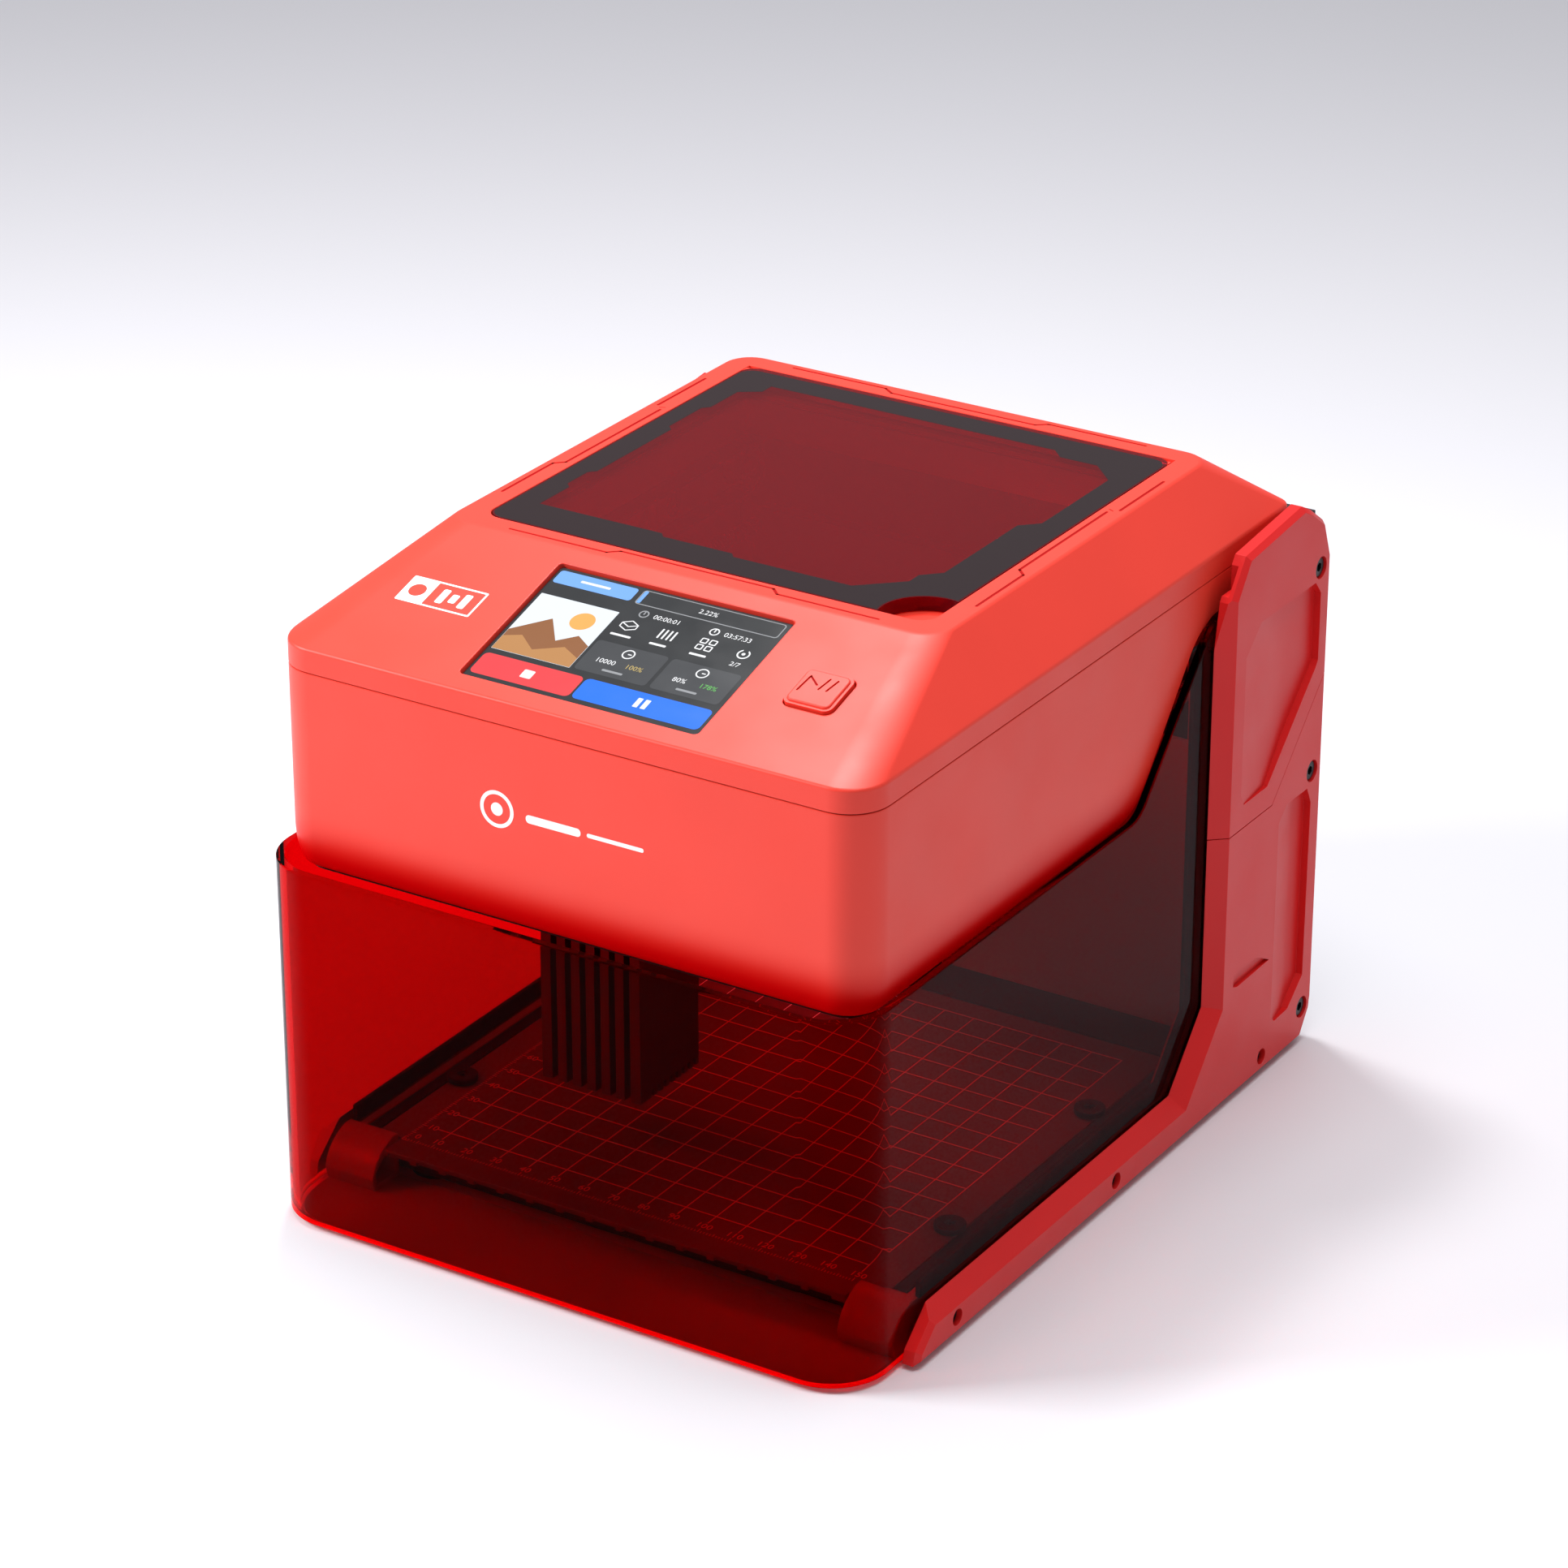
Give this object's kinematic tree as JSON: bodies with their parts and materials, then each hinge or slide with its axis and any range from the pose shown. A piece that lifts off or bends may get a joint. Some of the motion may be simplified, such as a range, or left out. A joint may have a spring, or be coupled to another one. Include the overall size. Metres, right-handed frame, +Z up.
{
  "type": "laser engraver",
  "caption": "Enclosed desktop laser engraver: coral casing with a sloped touch panel, smoked window lid, flip-up red visor, black engraving bed and a belt-driven laser head.",
  "frame": {"origin": "middle of the footprint, on the surface that the rubber feet stand on", "axes": "+X to the machine's right seen from the front, +Y to the rear, +Z up; the touch panel faces -Y"},
  "size_m": [0.2052, 0.2546, 0.1922],
  "materials": {
    "coral_shell": "satin coral moulding",
    "deep_red_paint": "satin deep red powder coat",
    "red_acrylic": "polished transparent red acrylic",
    "smoked_acrylic": "polished smoked red acrylic with a black printed border",
    "screen_glass": "black cover glass",
    "circuit_board": "green solder mask",
    "black_plastic": "fine textured black",
    "black_paint": "satin black powder coat",
    "motor_steel": "black lacquered laminations",
    "black_anodised": "black anodised",
    "steel": "ground",
    "pulley_aluminium": "machined",
    "brass": "turned",
    "rubber": "matt black"
  },
  "bodies": {
    "base": {"base_tray": "black_paint", "bed_plate": "black_paint", "bed_washer_1": "black_plastic", "bed_washer_2": "black_plastic", "bed_washer_3": "black_plastic", "bed_washer_4": "black_plastic", "button_switch": "black_plastic", "exhaust_fan_frame": "black_plastic", "foot_1": "rubber", "foot_2": "rubber", "foot_3": "rubber", "foot_4": "rubber", "front_cross_bar": "black_paint", "main_housing": "coral_shell", "mainboard": "circuit_board", "power_inlet": "black_plastic", "rail_end_cap_left": "deep_red_paint", "rail_end_cap_right": "deep_red_paint", "rear_cross_bar": "black_paint", "rear_panel": "black_plastic", "rear_wall": "deep_red_paint", "side_cover_lower_left": "coral_shell", "side_cover_lower_right": "coral_shell", "side_cover_upper_left": "coral_shell", "side_cover_upper_right": "coral_shell", "side_frame_left": "deep_red_paint", "side_frame_right": "deep_red_paint", "top_cover": "coral_shell", "touchscreen": "screen_glass", "visor_hinge_pin_left": "steel", "visor_hinge_pin_right": "steel", "window_hinge_pin_left": "steel", "window_hinge_pin_right": "steel", "y_belt_left": "rubber", "y_belt_right": "rubber", "y_motor": "motor_steel", "y_rod_left": "steel", "y_rod_right": "steel"},
    "window_lid": {"window_lid": "smoked_acrylic"},
    "visor": {"visor": "red_acrylic"},
    "start_button": {"start_button": "coral_shell"},
    "power_rocker": {"power_rocker": "black_plastic"},
    "exhaust_fan_rotor": {"exhaust_fan_rotor": "black_plastic"},
    "y_gantry": {"y_carriage_right": "black_anodised", "y_carriage_left": "black_anodised", "x_rod_1": "steel", "x_rod_2": "steel", "x_beam": "black_anodised", "x_motor": "motor_steel", "x_belt": "rubber"},
    "x_carriage": {"x_carriage": "black_anodised"},
    "laser_module": {"laser_heatsink": "black_anodised", "laser_nozzle": "brass", "laser_fan_frame": "black_plastic"},
    "laser_fan_rotor": {"laser_fan_rotor": "black_plastic"},
    "x_motor_pulley": {"x_motor_pulley": "pulley_aluminium"},
    "x_idler_pulley": {"x_idler_pulley": "pulley_aluminium"},
    "y_drive_shaft": {"y_drive_shaft": "steel"},
    "y_idler_pulley_right": {"y_idler_pulley_right": "pulley_aluminium"},
    "y_idler_pulley_left": {"y_idler_pulley_left": "pulley_aluminium"}
  },
  "joints": [
    {"name": "visor_hinge", "type": "hinge", "parent": "base", "child": "visor", "pos_m": [0, 0.074, 0.147], "axis": [-1, 0, 0], "range_deg": [0, 70]},
    {"name": "lid_hinge", "type": "hinge", "parent": "base", "child": "window_lid", "pos_m": [0, 0.08555, 0.19005], "axis": [-1, 0, 0], "range_deg": [0, 90]},
    {"name": "start_press", "type": "slide", "parent": "base", "child": "start_button", "axis": [0, 0.2797, -0.9601], "range_m": [0, 0.0012], "stiffness_N_per_m": 800},
    {"name": "power_rock", "type": "hinge", "parent": "base", "child": "power_rocker", "pos_m": [0.05, 0.126, 0.022], "axis": [1, 0, 0], "range_deg": [0, 10]},
    {"name": "exhaust_fan_spin", "type": "hinge", "parent": "base", "child": "exhaust_fan_rotor", "pos_m": [0, 0.0942, 0.062], "axis": [0, 1, 0], "continuous": true},
    {"name": "y_travel", "type": "slide", "parent": "base", "child": "y_gantry", "axis": [0, 1, 0], "range_m": [-0.035, 0.113]},
    {"name": "x_travel", "type": "slide", "parent": "y_gantry", "child": "x_carriage", "axis": [1, 0, 0], "range_m": [-0.0451, 0.0959]},
    {"name": "focus_slide", "type": "slide", "parent": "x_carriage", "child": "laser_module", "axis": [0, 0, 1], "range_m": [-0.008, 0.008]},
    {"name": "laser_fan_spin", "type": "hinge", "parent": "laser_module", "child": "laser_fan_rotor", "pos_m": [-0.0254, -0.053, 0.112], "axis": [0, 0, 1], "continuous": true},
    {"name": "x_motor_pulley_turn", "type": "hinge", "parent": "y_gantry", "child": "x_motor_pulley", "pos_m": [-0.068, -0.017, 0.1485], "axis": [0, 0, 1], "range_deg": [-410, 870]},
    {"name": "x_idler_turn", "type": "hinge", "parent": "y_gantry", "child": "x_idler_pulley", "pos_m": [0.07, -0.017, 0.1485], "axis": [0, 0, 1], "range_deg": [-410, 870]},
    {"name": "y_shaft_turn", "type": "hinge", "parent": "base", "child": "y_drive_shaft", "pos_m": [0, -0.104, 0.15], "axis": [1, 0, 0], "range_deg": [-320, 1020]},
    {"name": "y_idler_right_turn", "type": "hinge", "parent": "base", "child": "y_idler_pulley_right", "pos_m": [0.084, 0.104, 0.15], "axis": [1, 0, 0], "range_deg": [-320, 1020]},
    {"name": "y_idler_left_turn", "type": "hinge", "parent": "base", "child": "y_idler_pulley_left", "pos_m": [-0.084, 0.104, 0.15], "axis": [1, 0, 0], "range_deg": [-320, 1020]}
  ],
  "couplings": [
    {"joint": "x_motor_pulley_turn", "follows": "x_travel", "rad_per_m": 157},
    {"joint": "x_idler_turn", "follows": "x_travel", "rad_per_m": 157},
    {"joint": "y_shaft_turn", "follows": "y_travel", "rad_per_m": 157},
    {"joint": "y_idler_right_turn", "follows": "y_travel", "rad_per_m": 157},
    {"joint": "y_idler_left_turn", "follows": "y_travel", "rad_per_m": 157}
  ]
}
